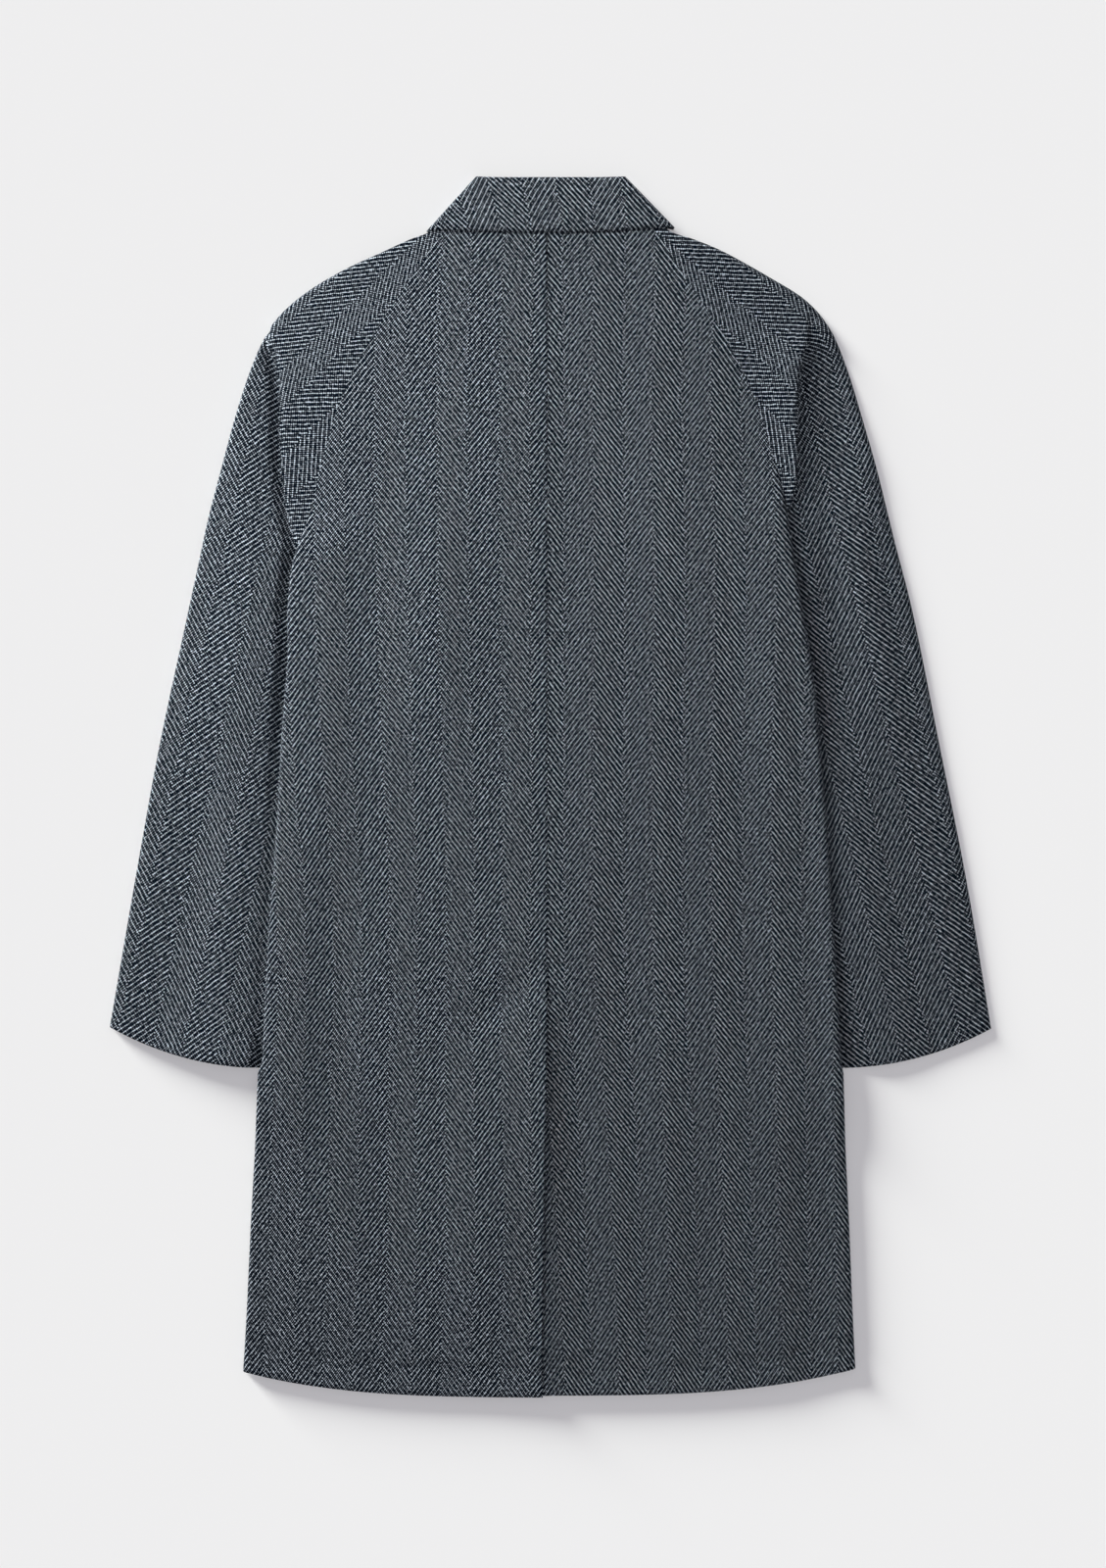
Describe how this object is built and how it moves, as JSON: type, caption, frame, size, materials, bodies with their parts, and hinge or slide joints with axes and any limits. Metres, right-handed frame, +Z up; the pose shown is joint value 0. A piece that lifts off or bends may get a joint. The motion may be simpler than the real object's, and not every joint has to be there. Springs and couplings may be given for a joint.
{
  "type": "raglan overcoat",
  "caption": "Knee-length raglan overcoat in herringbone wool, laid flat with its back up, with a turned-down collar, a centre-back seam and a lapped vent.",
  "frame": {"origin": "middle of the coat's outline, on the surface it lies on", "axes": "+X toward the wearer's right sleeve, +Y toward the collar, +Z up out of the back"},
  "size_m": [0.793, 1.096, 0.0127],
  "materials": {
    "herringbone_wool": "matt brushed wool, pale grey herringbone on dark navy"
  },
  "bodies": {
    "root": {"back_left": "herringbone_wool", "back_right": "herringbone_wool", "front_left": "herringbone_wool", "front_right": "herringbone_wool", "sleeve_back_left": "herringbone_wool", "sleeve_back_right": "herringbone_wool", "sleeve_front_left": "herringbone_wool", "sleeve_front_right": "herringbone_wool", "collar_fall": "herringbone_wool", "collar_stand": "herringbone_wool"}
  },
  "joints": []
}
